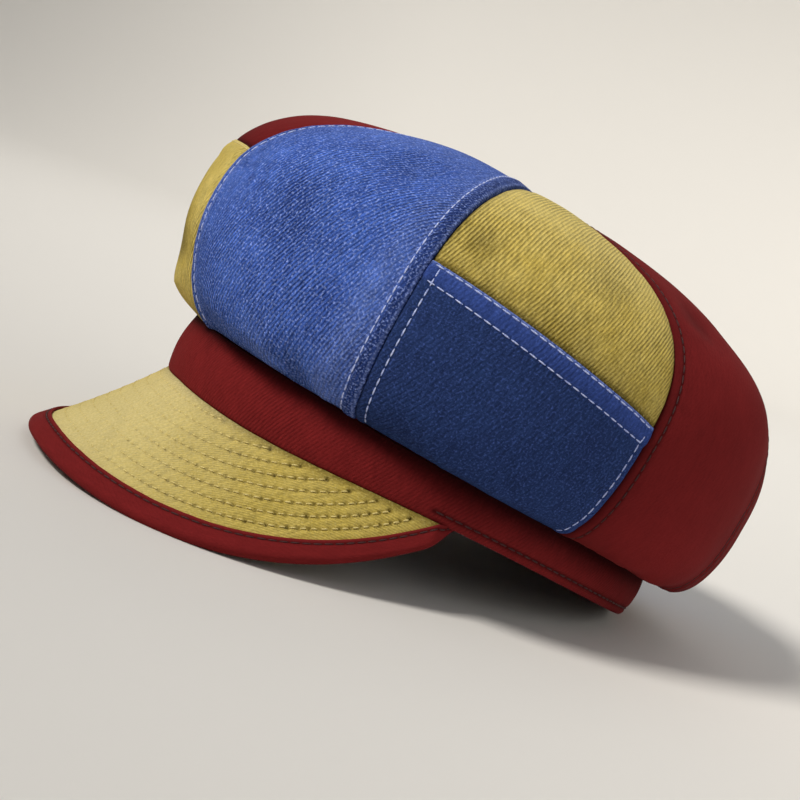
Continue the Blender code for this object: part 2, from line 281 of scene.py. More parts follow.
# relief of the cloth, in metres. Heights are those of the section, 0 at the band
wrinkles = {
    "broad": 0.00050,  # soft unevenness about 34 mm long
    "broadPerMetre": 29,
    "small": 0.00016,  # and about 12 mm long
    "smallPerMetre": 85,
    "fadeWidth": 0.03,  # all this relief fades where a gore is narrower
    "gather": 0.00042,  # ridges where the crown is gathered into the band
    "gatherHeight": 0.3,
    "gatherStart": 0.06,
    "hem": 0.0012,  # slow waves of the crown's lower edge
    "hemHeight": 0.3,
    "hemSpread": 0.16,
    "pucker": 0.00016,  # ripples along a stitch line
    "puckerLength": 0.0042,
    "puckerReach": 0.008,
    "patchPuckerLength": 0.0045,
    "patchPuckerReach": 0.010,
    "groove": 0.00042,  # how far a stitch line pulls the cloth down
    "grooveWidth": 0.0009,
    "edgeRoll": 0.0005,  # how far a cut edge turns down into its seam
    "edgeRollReach": 0.0006,
    "allowance": 0.004,  # width of the folded cloth where no stitch line gives it
    "stepIn": 0.0004,  # its thickness ends from here before the stitch line
    "stepOut": 0.0012,  # to here past it
    "levelReach": 0.007,
    "lap": 0.0007,  # a lower patch lies on the upper one
    "lapEnds": (0.0055, 0.0085),
    "lapRollReach": 0.0005,
    "under": 0.0003,  # and presses it down
    "underReach": 0.0018,
}

# wear turns edges pale, painted highlight and painted light pale raised folds and lit faces, and shade is
# painted shade in seams, stitch grooves, hollows, under lapped edges and low on the crown by the band. Both
# are shares, and reaches are in metres
wearLightAndShade = {
    "foldHighlight": 0.5,
    "foldHighlightMost": 0.22,
    "hollowShade": 0.9,
    "bandShade": 0.8,
    "bandShadeHeight": 0.10,
    "thickRise": 0.0005,  # an edge that rises more has its allowances folded under it
    "edgeWear": 0.45,
    "edgeWearIn": 0.0008,
    "edgeWearSpread": 0.6,
    "threadWear": 0.35,
    "threadWearPast": 0.0009,
    "threadWearReach": 0.0007,
    "strip": 0.9,
    "stripBefore": 0.001,
    "stripAfter": 0.0002,
    "seamShade": 0.6,
    "thickSeamReach": 0.009,
    "thinSeamReach": 0.004,
    "underReach": 0.0016,
    "threadShade": 0.85,
    "threadShadeReach": 0.0008,
    "jointReach": 0.0024,
    "jointShade": 0.5,
    "jointShadeReach": 0.010,
    "patchLight": 0.55,
    "patchLightFrom": 0.012,
    "patchLightTo": 0.060,
    "jointWearReach": 0.0008,
}


def goreAngles(gore):
    return seams[gore["seam"]] * gore["side"], seams[gore["seam"] + 1] * gore["side"]


def jointHeight(gore, across):
    first, second = gore["joint"]
    return first + (second - first) * across


def runningLengths(points):
    # length along the points up to each of them
    return list(accumulate(((b - a).length for a, b in zip(points, points[1:])), initial=0.0))


def sectionLengths(angle, count=240):
    return runningLengths([smoothCrownPoint(angle, 2 * i / count) for i in range(count + 1)])


def readTable(lengths, height):
    place = min(max(height / 2, 0), 1) * (len(lengths) - 1)
    low = min(int(place), len(lengths) - 2)
    return lengths[low] + (lengths[low + 1] - lengths[low]) * (place - low)


def spanAt(lengths, length):
    # number of the last of the lengths before this one, and the share of the way on to the next
    low = min(max(bisect_right(lengths, length) - 1, 0), len(lengths) - 2)
    return low, (length - lengths[low]) / max(lengths[low + 1] - lengths[low], 1e-9)


def heightAtLength(lengths, length):
    low, share = spanAt(lengths, length)
    return 2 * (low + share) / (len(lengths) - 1)


def smoothStep(low, high, value):
    share = min(max((value - low) / (high - low), 0), 1)
    return share * share * (3 - 2 * share)


def bell(distance, reach):
    return exp(-((distance / reach) ** 2))


def uneven(x, y, z):
    return noise.noise(Vector((x, y, z)))


def seamLift(edge, distance, along):
    # a stitched edge: raised up to its stitch line, pulled down at the thread, rolled in at the seam
    lift = -wrinkles["edgeRoll"] * exp(-distance / wrinkles["edgeRollReach"])
    reach = edge["stitch"] or wrinkles["allowance"]
    lift += edge["rise"] * (1 - smoothStep(reach - wrinkles["stepIn"], reach + wrinkles["stepOut"], distance))
    if edge["stitch"]:
        lift -= wrinkles["groove"] * bell(distance - edge["stitch"], wrinkles["grooveWidth"])
    # edges of different rise get different ripples
    ripple = uneven(along / wrinkles["puckerLength"], edge["rise"] * 9000, 0.5)
    return lift + wrinkles["pucker"] * ripple * bell(distance, wrinkles["puckerReach"])


def jointLift(gore, fromJoint, fromFirst):
    # the lower patch of a pieced gore laps over the upper one and is stitched down
    if gore.get("upper"):
        return -wrinkles["under"] * exp(-fromJoint / wrinkles["underReach"])
    lift = wrinkles["lap"] * (1 - smoothStep(*wrinkles["lapEnds"], fromJoint))
    lift -= wrinkles["edgeRoll"] * exp(-fromJoint / wrinkles["lapRollReach"])
    for down in gore["patchStitches"]:
        lift -= wrinkles["groove"] * bell(fromJoint - down, wrinkles["grooveWidth"])
    ripple = uneven(fromFirst / wrinkles["patchPuckerLength"], 7.7, 0.5)
    return lift + wrinkles["pucker"] * ripple * bell(fromJoint, wrinkles["patchPuckerReach"])


def edgeWearAndShade(edge, distance):
    # an edge is painted with shade: a painted shadow under a neighbour's edge, painted shade in its stitch
    # groove and seam, and up to the stitch line of a thick edge. Worn edges and thread lines turn paler
    stitch = edge["stitch"]
    if edge["rise"] < 0:  # under its neighbour's edge
        return 0, exp(-distance / wearLightAndShade["underReach"])
    if edge["rise"] <= wearLightAndShade["thickRise"]:
        shade = wearLightAndShade["threadShade"] * bell(distance - stitch, wearLightAndShade["threadShadeReach"])
        if "level" not in edge:
            shade = max(shade, wearLightAndShade["seamShade"] * exp(-distance / wearLightAndShade["thinSeamReach"]))
        return 0, shade
    worn = edge.get("worn", wearLightAndShade["edgeWearIn"])
    edgeWear = 1 if "worn" in edge else wearLightAndShade["edgeWear"]
    wearAndLight = max(
        edgeWear * bell(distance - worn, wearLightAndShade["edgeWearSpread"] * worn),
        wearLightAndShade["threadWear"] * bell(distance - stitch - wearLightAndShade["threadWearPast"], wearLightAndShade["threadWearReach"]),
    )
    strip = edge.get("strip", wearLightAndShade["strip"])
    inStrip = 1 - smoothStep(stitch - wearLightAndShade["stripBefore"], stitch + wearLightAndShade["stripAfter"], distance)
    return wearAndLight, strip * max(inStrip, wearLightAndShade["seamShade"] * exp(-distance / wearLightAndShade["thickSeamReach"]))


def goreWearLightAndShade(gore, fromFirst, fromLast, fromJoint, height, folded):
    # painted light on a face turned to the lamp: it pales the cloth and takes painted shade out of its
    # hollows
    folded += gore.get("bleached", 0)
    # raised folds get a painted highlight
    wearAndLight = min(wearLightAndShade["foldHighlight"] * max(folded, 0), wearLightAndShade["foldHighlightMost"])
    # painted shade in the hollows of folds and low on the crown by the band
    shade = wearLightAndShade["hollowShade"] * max(-folded, 0) + wearLightAndShade["bandShade"] * bell(height, wearLightAndShade["bandShadeHeight"])
    for edge, distance in zip(gore["edges"], (fromFirst, fromLast)):
        edgeWear, edgeShade = edgeWearAndShade(edge, distance)
        wearAndLight = max(wearAndLight, edgeWear)
        shade = max(shade, edgeShade)
    if gore.get("upper"):
        # painted shadow along the joint under the lapping patch, painted shade fading up from it, and painted
        # light paling the patch towards its top
        spread = wearLightAndShade["jointShade"] * exp(-fromJoint / wearLightAndShade["jointShadeReach"])
        shade = max(shade, bell(fromJoint, wearLightAndShade["jointReach"]), spread)
        wearAndLight = max(wearAndLight, wearLightAndShade["patchLight"] * smoothStep(wearLightAndShade["patchLightFrom"], wearLightAndShade["patchLightTo"], fromJoint))
    elif "joint" in gore:
        wearAndLight = max(wearAndLight, bell(fromJoint, wearLightAndShade["jointWearReach"]))
        if "facing" in gore:
            shade = 1 - smoothStep(*gore["facing"], fromJoint)
            shade = max(shade, gore["sideShade"] * (1 - smoothStep(*gore["sideFacing"], fromLast)))
    return min(wearAndLight, 1), min(shade, 1)


def goreSurface(gore, angle, height):
    # outer face of a gore's cloth, with its way out and what its weave, its wear and painted light, and its
    # painted shade follow
    here, out, roundSpeed = crownFrame(angle, height)[:3]
    first, last = goreAngles(gore)
    across = min(max((angle - first) / (last - first), 0), 1)
    fromFirst = abs(angle - first) * roundSpeed
    fromLast = abs(last - angle) * roundSpeed
    along = readTable(gore["lengths"], height)
    folded = foldLift(angle, height)
    lift = goreBulge(across, height) + folded
    small = wrinkles["broad"] * noise.noise(here * wrinkles["broadPerMetre"] + Vector((3.1, 0, 0)))
    small += wrinkles["small"] * noise.noise(here * wrinkles["smallPerMetre"])
    for edge, distance in zip(gore["edges"], (fromFirst, fromLast)):
        small += seamLift(edge, distance, along)
        lift -= edge.get("level", 0) * goreBulge(0, height) * bell(distance, wrinkles["levelReach"])
    ridge = uneven(angle * 17, gore["seam"] * 3, 1.7) + 0.5 * uneven(angle * 41, 2, 0)
    ridge *= bell(height, wrinkles["gatherHeight"]) * min(height / wrinkles["gatherStart"], 1)
    hem = uneven(angle * 6.3, 8.2, 1.1) * bell(height - wrinkles["hemHeight"], wrinkles["hemSpread"])
    small += wrinkles["gather"] * ridge + wrinkles["hem"] * hem
    fromJoint = 1.0
    if "joint" in gore:
        fromJoint = abs(readTable(gore["lengths"], jointHeight(gore, across)) - along)
        small += jointLift(gore, fromJoint, fromFirst)
    point = here + out * (lift + small * min((fromFirst + fromLast) / wrinkles["fadeWidth"], 1))
    wearAndLight, shade = goreWearLightAndShade(gore, fromFirst, fromLast, fromJoint, height, folded / crown["puff"])
    weave = ((angle - (first + last) / 2) * roundSpeed, along)
    return point, out, weave, wearAndLight, shade


def meshObject(bm, name, material):
    mesh = bpy.data.meshes.new(name)
    bm.to_mesh(mesh)
    bm.free()
    mesh.shade_smooth()
    mesh.materials.append(material)
    piece = bpy.data.objects.new(name, mesh)
    bpy.context.collection.objects.link(piece)
    return piece


def finishPiece(bm, name, material, node=None, slot=None):
    # cloth has a node that it stands for, and thread has none. slot is not used
    bmesh.ops.remove_doubles(bm, verts=bm.verts, dist=2e-6)
    bmesh.ops.recalc_face_normals(bm, faces=bm.faces)
    piece = meshObject(bm, name, material)
    piece.data.transform(restPlace)
    for vert in piece.data.vertices:
        vert.co.z = max(vert.co.z, 0)  # nothing goes through the floor
    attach(piece, "root")
    if node:
        piece.data.set_sharp_from_angle(angle=radians(55))
        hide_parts(node)
    return piece


def bentCloth(name, node, slot, material, grid, place, ring=False, press=None):
    # a flat grid of cloth, bent to shape and given its wall. place returns both faces' points, weave, wear
    # and painted light, painted shade, and press works on the bent cloth
    bm = bmesh.new()
    weaveLayer = bm.loops.layers.uv.new("weave")
    wearAndLightLayer = bm.verts.layers.float.new("wearAndLight")
    shadeLayer = bm.verts.layers.float.new("shade")
    bmesh.ops.create_grid(bm, x_segments=grid[0], y_segments=grid[1], size=0.5)
    sheet = bmesh.ops.extrude_face_region(bm, geom=bm.faces[:], use_keep_orig=True)
    inner = {item for item in sheet["geom"] if isinstance(item, bmesh.types.BMVert)}
    if ring:
        ends = [face for face in bm.faces if len({round(v.co.x, 6) for v in face.verts}) == 1]
        bmesh.ops.delete(bm, geom=ends, context="FACES")
    weaves = {}
    placed = {}
    for vert in bm.verts:
        key = (round(vert.co.x, 6), round(vert.co.y, 6))
        if key not in placed:
            placed[key] = place(vert.co.x + 0.5, vert.co.y + 0.5)
        outside, inside, weaves[vert], vert[wearAndLightLayer], vert[shadeLayer] = placed[key]
        vert.co = inside if vert in inner else outside
    for face in bm.faces:
        for loop in face.loops:
            loop[weaveLayer].uv = weaves[loop.vert]
    if press:
        press(bm, inner, shadeLayer)
    return finishPiece(bm, name, material, node, slot)


def cutSize(gore, steps=80):
    # the flat panel this gore is cut from: its width and length, and its area
    first, last = goreAngles(gore)
    upper = gore.get("upper")
    bottom = jointHeight(gore, 0.5) if upper else 0
    top = jointHeight(gore, 0.5) if "joint" in gore and not upper else 2
    start = readTable(gore["lengths"], bottom)
    length = readTable(gore["lengths"], top) - start
    widths = []
    for i in range(steps):
        height = heightAtLength(gore["lengths"], start + length * (i + 0.5) / steps)
        chord = (smoothCrownPoint(last, height) - smoothCrownPoint(first, height)).length
        widths.append(chord * crown["arcOverChord"])
    return max(widths), length, sum(widths) * length / steps


def makeGore(gore, denim):
    first, last = goreAngles(gore)
    middle = (first + last) / 2
    gore["lengths"] = sectionLengths(middle)
    upper = gore.get("upper", False)
    onBand = not upper
    toApex = upper or "joint" not in gore
    rows = gore["grid"][1] + onBand + toApex

    def insideSeams(angle, height):
        margin = crown["seamGap"] / 2 / smoothCrownPoint(angle, height).xy.length
        near, far = sorted((first, last))
        return min(max(angle, near + margin), far - margin)

    def place(across, along):
        across += crown["seamCrowding"] * ((1 - cos(pi * across)) / 2 - across)
        row = round(along * rows)
        angle = first + (last - first) * across
        if onBand and row == 0:
            angle = insideSeams(angle, 0)
            # this row is tucked inside the band and painted in full shade
            inside = ellipsePoint(angle, -band["wall"], band["height"])
            return inside, inside + Vector((0, 0, crown["cloth"])), ((angle - middle) * sideReach, 0), 0, 1
        if toApex and row == rows:
            angle = middle
            height = heightAtRadius(middle, crown["apexTip"])
        else:
            share = (row - onBand) / (rows - onBand - toApex)
            bottom = jointHeight(gore, across) if upper else 0
            top = heightAtRadius(angle, crown["apexRing"]) if toApex else jointHeight(gore, across)
            height = heightOf(rowOf(bottom) + (rowOf(top) - rowOf(bottom)) * share)
            if "joint" in gore and share == (0 if upper else 1):
                height += crown["seamGap"] / 2 / crownFrame(angle, height)[3] * (1 if upper else -1)
            angle = insideSeams(angle, height)
        point, out, weave, wearAndLight, shade = goreSurface(gore, angle, height)
        return point, point - out * crown["cloth"], weave, wearAndLight, shade

    slot = denims[gore["cloth"]]["slot"]
    piece = bentCloth("cloth_" + gore["node"], gore["node"], slot, denim, (gore["grid"][0], rows), place)
    width, length, area = cutSize(gore)
    print(piece.name, "cut", round(width * 1000), "x", round(length * 1000), "mm,", round(area * 1e6), "mm2")


def bandSurface(angle, up):
    # up is 0 at the band's lower edge and 1 at the crown
    low = bandEdgeHeight(angle) - 0.8 * visor["gap"]
    z = low + (band["height"] - visor["gap"] - low) * up
    reach = z - low
    bow = (band["bow"] + band["wave"] * uneven(angle * 5, z * 30, 4)) * sin(pi * up)
    bow -= band["edgeRoll"] * exp(-reach / wrinkles["edgeRollReach"])
    hidden = smoothStep(radians(band["shadeFrom"]), radians(band["shadeTo"]), abs(wrapped(angle)))
    shade = bell(1 - up, band["shadeFront"] + band["shadeMore"] * hidden)
    if abs(wrapped(angle)) > radians(band["stitchFrom"]):
        groove = bell(reach - band["stitchUp"], wrinkles["grooveWidth"])
        bow -= wrinkles["groove"] * groove
        shade = max(shade, band["stitchShade"] * groove)
        ripple = uneven(angle * frontReach / wrinkles["puckerLength"], 3, 0.5)
        bow += wrinkles["pucker"] * ripple * bell(reach, wrinkles["puckerReach"])
    weave = (angle * (frontReach + sideReach) / 2, z)
    wearAndLight = band["edgeWear"] * exp(-reach / band["edgeWearReach"])
    return ellipsePoint(angle, bow, z), ellipseNormal(angle), weave, wearAndLight, shade


def makeBand(denim):
    def place(across, along):
        angle = across * 2 * pi - pi
        point, out, weave, wearAndLight, shade = bandSurface(angle, along)
        inside = ellipsePoint(angle, band["bow"] * sin(pi * along) - band["wall"], point.z)
        return point, inside, weave, wearAndLight, shade

    grid = (band["columns"], band["rows"])
    piece = bentCloth("cloth_band", "band", "red_denim", denim, grid, place, ring=True)


visor = {
    "depth": 0.0529,
    "endDepth": 0.003,
    "reach": 79.1,
    "slopeFront": 49.3,
    "slopeEnd": 71.5,
    "curl": 10.6,
    "taper": 2.86,
    "taperPower": 1.18,
    "wall": 0.002,
    "gap": 0.0003,
    "tuckFrom": 0.93,  # share of the reach from which the ends go in under the band
    "tuckIn": 0.0048,
    "tuckUp": 0.0034,
    "halfSpan": 0.1,
    "columns": 450,
    "rows": 96,
    "stitchRows": 8,
    "rowPitch": 0.0051,
    "rowEnd": 0.985,
    "rowStop": 0.0015,  # nearest that a needle came to the band
    "firstRow": 0.0048,  # from the binding's inner edge
    "stitchPitch": 0.0034,
    "channel": 0.0002,  # how far a row pulls the cloth down
    "channelWidth": 0.0012,
    "puff": 0.00022,  # of the cloth between rows
    "roughness": 0.0001,
    "pitDepth": 0.00075,
    "pitRadius": 0.00066,
    "pitShade": 1.1,
    "fadeFront": 0.30,  # how strongly the rows show at the middle of the visor, against its sides
    "fadeFrom": 0.05,
    "fadeTo": 0.55,
    "paleFront": 0.66,  # paler towards the front, and not at all towards the ends
    "paleFrontTo": 0.62,
    "bandShade": 0.8,
    "bandShadeReach": 0.0022,
}

binding = {
    "width": 0.0088,
    "wall": 0.001,
    "endInset": 0.0001,
    "halfLength": 0.165,
    "unfolded": 0.022,
    "stitchIn": 0.0018,  # stitch line from the binding's inner edge
    "stitchedShare": 0.93,
    "grooveShare": 0.8,
    "grooveWidth": 0.0007,
    "edgeRoll": 0.0003,
    "edgeRollReach": 0.0004,
    "pucker": 0.00016,
    "puckerLength": 0.0045,
    "puckerReach": 0.006,
    "wave": 0.00015,
    "waveLength": 0.016,
    "edgeWear": 0.25,
    "edgeWearReach": 0.0007,
    "stitchShade": 0.75,
    "stitchShadeReach": 0.0006,
    "around": 40,
    "sections": 420,
}


def visorDepth(across):
    taper = (1 - min(abs(across), 1) ** visor["taper"]) ** visor["taperPower"]
    return visor["endDepth"] + (visor["depth"] - visor["endDepth"]) * taper


def visorSlope(across):
    return visor["slopeFront"] + (visor["slopeEnd"] - visor["slopeFront"]) * across**2


def visorPoint(across, out, above):
    angle = across * radians(visor["reach"])
    curl = radians(visor["curl"])
    start = radians(visorSlope(across)) + curl / 2
    here = start - curl * out / visorDepth(across)
    length = visorDepth(across) / curl
    forward = length * (sin(start) - sin(here)) + above * sin(here)
    down = length * (cos(here) - cos(start)) - above * cos(here)
    base = ellipsePoint(angle, 0, bandEdgeHeight(angle) - visor["gap"])
    tuck = smoothStep(visor["tuckFrom"], 1, abs(across))
    forward -= visor["tuckIn"] * tuck
    down -= visor["tuckUp"] * tuck * tuck
    return base + ellipseNormal(angle) * forward - Vector((0, 0, down))


def visorNormal(across, out):
    step = 0.001
    roundVisor = visorPoint(across + step, out, 0) - visorPoint(across - step, out, 0)
    outVisor = visorPoint(across, out + step, 0) - visorPoint(across, out - step, 0)
    return outVisor.cross(roundVisor).normalized()


def rowStitches(row):
    # where the needle went in along one row of the visor, as across and out
    fromEdge = binding["width"] + visor["firstRow"] + row * visor["rowPitch"]

    def onRow(across):
        return visorPoint(across, visorDepth(across) - fromEdge, 0)

    step = 0.0005
    places = []
    across = -visor["rowEnd"]
    while across < visor["rowEnd"]:
        speed = (onRow(across + step) - onRow(across)).length / step
        across += visor["stitchPitch"] / speed
        out = visorDepth(across) - fromEdge
        if out > visor["rowStop"]:
            places.append((across, out))
    return places


visorRows = [rowStitches(row) for row in range(visor["stitchRows"])]


def rowStrength(across):
    shown = smoothStep(visor["fadeFrom"], visor["fadeTo"], abs(across))
    return visor["fadeFront"] + (1 - visor["fadeFront"]) * shown


def visorLift(across, out):
    # rows pull the cloth down in a shallow channel, and it puffs up a little between them
    fromEdge = visorDepth(across) - out - binding["width"] - visor["firstRow"]
    row = round(fromEdge / visor["rowPitch"])
    lift = visor["roughness"] * uneven(across * 55, out * 260, 0)
    if 0 <= row < visor["stitchRows"]:
        inRow = bell(fromEdge - row * visor["rowPitch"], visor["channelWidth"])
        lift -= visor["channel"] * rowStrength(across) * inRow
        lift += visor["puff"] * rowStrength(across) * uneven(across * 75, row * 9.1, 0) * (1 - inRow)
    return lift


def pressNeedleHoles(bm, inner, shadeLayer):
    for upper in (True, False):
        verts = [vert for vert in bm.verts if (vert not in inner) == upper]
        tree = KDTree(len(verts))
        for index, vert in enumerate(verts):
            tree.insert(vert.co, index)
        tree.balance()
        for across, out in (hole for places in visorRows for hole in places):
            across += 0.5 * visor["pitRadius"] * uneven(across * 900, out * 900, 0) / visor["halfSpan"]
            normal = visorNormal(across, out)
            centre = visorPoint(across, out, 0 if upper else -visor["wall"])
            share = rowStrength(across) * (1 + 0.9 * uneven(across * 300, out * 500, 3))
            for _, index, distance in tree.find_range(centre, visor["pitRadius"] * 2.2):
                push = share * bell(distance, visor["pitRadius"])
                verts[index].co -= normal * visor["pitDepth"] * (push if upper else -push)
                verts[index][shadeLayer] += visor["pitShade"] * push


def makeVisor(denim):
    def place(across, along):
        side = across * 2 - 1
        depth = visorDepth(side) - binding["wall"] - 2.6 * visor["gap"]
        out = depth * along
        angle = side * radians(visor["reach"])
        flat = visorPoint(side, out, 0)
        lift = visorLift(side, out) * min(depth / 0.02, 1)
        raised = visorNormal(side, out) * lift
        if out > 0:
            inside = visorPoint(side, out, -visor["wall"]) - raised
        else:  # cut level, to lie against the band's lower edge
            slope = radians(visorSlope(side) + visor["curl"] / 2)
            inside = flat - ellipseNormal(angle) * (visor["wall"] / sin(slope))
        weave = ((sideReach + out) * sin(angle), -(frontReach + out) * cos(angle))
        wearAndLight = visor["paleFront"] * (1 - smoothStep(0.0, visor["paleFrontTo"], abs(side)))
        return flat + raised, inside, weave, wearAndLight, visor["bandShade"] * bell(out, visor["bandShadeReach"])

    grid = (visor["columns"], visor["rows"])
    bentCloth("cloth_visor", "visor", "yellow_denim", denim, grid, place, press=pressNeedleHoles)


def bindingFold(side):
    # width of the folded strip, half its thickness, and the radius of its fold
    width = min(binding["width"], visorDepth(side) - binding["endInset"])
    half = visor["wall"] / 2 + visor["gap"] + binding["wall"]
    return width, half, min(half, width * 0.6)


def bindingSection(side, share, inset):
    # the folded strip's section, share 0 at its upper edge and 1 at its lower, as out and above
    edge = visorDepth(side)
    width, half, radius = bindingFold(side)
    middle = -visor["wall"] / 2
    flat = width - radius
    arc = pi * radius
    whole = 2 * flat + arc
    place = share * whole
    shrink = inset * binding["wall"]
    if place < flat:
        return edge - width + place, middle + half - shrink, place
    if place > flat + arc:
        return edge - radius - (place - flat - arc), middle - half + shrink, whole - place
    turn = (place - flat) / radius
    tall = half - shrink
    wide = radius - shrink
    return edge - radius + wide * sin(turn), middle + tall * cos(turn), flat + abs(arc / 2 - (place - flat))


def bindingPoint(side, share, inset=0):
    out, above, fromEdge = bindingSection(side, share, inset)
    lift = 0
    if inset == 0:
        along = side * binding["halfLength"]
        groove = bell(fromEdge - binding["stitchIn"], binding["grooveWidth"])
        lift -= wrinkles["groove"] * binding["grooveShare"] * groove
        lift -= binding["edgeRoll"] * exp(-fromEdge / binding["edgeRollReach"])
        ripple = uneven(along / binding["puckerLength"], share * 3, 0.5)
        lift += binding["pucker"] * ripple * bell(fromEdge, binding["puckerReach"])
        lift += binding["wave"] * uneven(along / binding["waveLength"], share * 2, 5)
    return visorPoint(side, out, above + lift if share < 0.5 else above - lift), fromEdge


def makeBinding(denim):
    def place(across, along):
        side = sin((along - 0.5) * pi)
        outside, fromEdge = bindingPoint(side, across)
        inside = bindingPoint(side, across, 1)[0]
        weave = (across * binding["unfolded"], side * binding["halfLength"])
        wearAndLight = binding["edgeWear"] * exp(-fromEdge / binding["edgeWearReach"])
        groove = bell(fromEdge - binding["stitchIn"], binding["stitchShadeReach"])
        return outside, inside, weave, wearAndLight, binding["stitchShade"] * groove

    grid = (binding["around"], binding["sections"])
    piece = bentCloth("cloth_binding", "visor_binding", "red_denim", denim, grid, place)
    folded, _, radius = bindingFold(0)
    length = runningLengths([visorPoint(i / 100 - 1, visorDepth(i / 100 - 1), 0) for i in range(201)])[-1]


# stitches are short lengths of thread that dive into the cloth at both ends
threadLook = {
    "length": 0.0029,
    "pitch": 0.0036,
    "width": 0.00056,
    "heavyWidth": 0.0006,  # on the band and the binding
    "height": 0.00054,
    "above": 0.00012,  # thread's middle above the groove
    "overlap": 1.04,
    "slip": 0.0002,
    "sway": 0.05,
    "visorHeight": 0.0005,
    "visorAbove": 0.00008,
    "visorSink": 0.0003,  # how much lower the rows lie where they fade
    "visorShare": 0.62,  # of a stitch that shows between its two holes
    "segments": (8, 6),
}


def addStitch(line, a, b, out, above, width, height, overlap):
    # one stitch from a to b, lying along the cloth
    along = (b - a).normalized()
    side = along.cross(out).normalized()
    out = side.cross(along)
    basis = Matrix((side, out, along)).transposed().to_4x4()
    size = Matrix.Diagonal((width / 2, height / 2, (b - a).length / 2 * overlap, 1))
    place = Matrix.Translation((a + b) / 2 + out * above) @ basis @ size
    around, lengthwise = threadLook["segments"]
    bmesh.ops.create_uvsphere(line, u_segments=around, v_segments=lengthwise, radius=1, matrix=place)


def addLine(bm, line):
    # a line of stitches is made by itself first, as adding to a large mesh is slow
    mesh = bpy.data.meshes.new("line")
    line.to_mesh(mesh)
    line.free()
    bm.from_mesh(mesh)
    bpy.data.meshes.remove(mesh)


def stitchesAlong(bm, path, width=threadLook["width"]):
    # path is a list of points and ways out, close together
    line = bmesh.new()
    travelled = runningLengths([point for point, _ in path])

    def at(distance):
        low, share = spanAt(travelled, distance)
        return path[low][0].lerp(path[low + 1][0], share), path[low][1].lerp(path[low + 1][1], share)

    count = int(travelled[-1] / threadLook["pitch"])
    for i in range(count):
        start = i * threadLook["pitch"] + (travelled[-1] - count * threadLook["pitch"]) / 2
        start += threadLook["slip"] * uneven(i * 1.7, travelled[-1] * 90, 0)
        a, outA = at(start)
        b, outB = at(min(start + threadLook["length"], travelled[-1]))
        out = (outA + outB).normalized()
        b += (b - a).cross(out) * threadLook["sway"] * uneven(i * 2.3, 4, 0)
        addStitch(line, a, b, out, threadLook["above"], width, threadLook["height"], threadLook["overlap"])
    addLine(bm, line)


def seamPath(gore, edge, low, high, steps=260):
    # along a seam, at its stitch line's distance inside the gore
    first, last = goreAngles(gore)
    seam = (first, last)[edge]
    inwards = 1 if (first, last)[1 - edge] > seam else -1
    path = []
    for i in range(steps + 1):
        height = low + (high - low) * i / steps
        angle = seam + inwards * gore["edges"][edge]["stitch"] / crownFrame(seam, height)[2]
        path.append(goreSurface(gore, angle, height)[:2])
    return path


def jointPath(gore, down, steps=160):
    first, last = goreAngles(gore)
    path = []
    for i in range(steps + 1):
        across = 0.012 + 0.976 * i / steps
        joint = readTable(gore["lengths"], jointHeight(gore, across))
        height = heightAtLength(gore["lengths"], joint - down)
        path.append(goreSurface(gore, first + (last - first) * across, height)[:2])
    return path


def makeGoreStitches(gore, thread):
    bm = bmesh.new()
    upper = gore.get("upper", False)
    for edge, finish in enumerate(gore["edges"]):
        if finish["stitch"]:
            low = jointHeight(gore, edge) + 0.02 if upper else 0.06
            high = 1.90 if upper or "joint" not in gore else jointHeight(gore, edge) - 0.01
            stitchesAlong(bm, seamPath(gore, edge, low, high))
    for down in gore.get("patchStitches", ()):
        stitchesAlong(bm, jointPath(gore, down))
    if bm.verts:
        finishPiece(bm, "stitches_" + gore["node"], thread)
    else:
        bm.free()


def makeBandStitches(thread, steps=500):
    bm = bmesh.new()
    path = []
    low = radians(band["stitchFrom"])
    for i in range(steps + 1):
        angle = low + (2 * pi - 2 * low) * i / steps
        up = band["stitchUp"] / (band["height"] - visor["gap"] - bandEdgeHeight(angle))
        path.append(bandSurface(wrapped(angle), up)[:2])
    stitchesAlong(bm, path, threadLook["heavyWidth"])
    finishPiece(bm, "stitches_band", thread)


def makeVisorStitches(thread):
    bm = bmesh.new()
    size = (threadLook["heavyWidth"], threadLook["visorHeight"], threadLook["visorShare"])
    for places in visorRows:
        line = bmesh.new()
        for (across, out), (nextAcross, nextOut) in zip(places, places[1:]):
            for above, flip in ((0, 1), (-visor["wall"], -1)):
                a = visorPoint(across, out, above)
                b = visorPoint(nextAcross, nextOut, above)
                if (b - a).length < visor["stitchPitch"] * 1.5:
                    lifted = threadLook["visorAbove"] - threadLook["visorSink"] * (1 - rowStrength(across))
                    addStitch(line, a, b, visorNormal(across, out) * flip, lifted, *size)
        addLine(bm, line)
    finishPiece(bm, "stitches_visor", thread)


def makeBindingStitches(thread, steps=500):
    bm = bmesh.new()
    for lower in (False, True):
        path = []
        for i in range(steps + 1):
            side = sin((i / steps - 0.5) * pi * binding["stitchedShare"])
            width, _, radius = bindingFold(side)
            share = min(binding["stitchIn"], width * 0.5) / (2 * (width - radius) + pi * radius)
            point = bindingPoint(side, 1 - share if lower else share)[0]
            path.append((point, visorNormal(side, visorDepth(side) - width) * (-1 if lower else 1)))
        stitchesAlong(bm, path, threadLook["heavyWidth"])
    finishPiece(bm, "stitches_binding", thread)


def linear(hexColour):
    channels = [int(hexColour[i : i + 2], 16) / 255 for i in (0, 2, 4)]
    return (*[c / 12.92 if c <= 0.04045 else ((c + 0.055) / 1.055) ** 2.4 for c in channels], 1)


def newMaterial(name, roughness):
    material = bpy.data.materials.new(name)
    material.use_nodes = True
    shader = material.node_tree.nodes["Principled BSDF"]
    shader.inputs["Roughness"].default_value = roughness
    return material, material.node_tree, shader


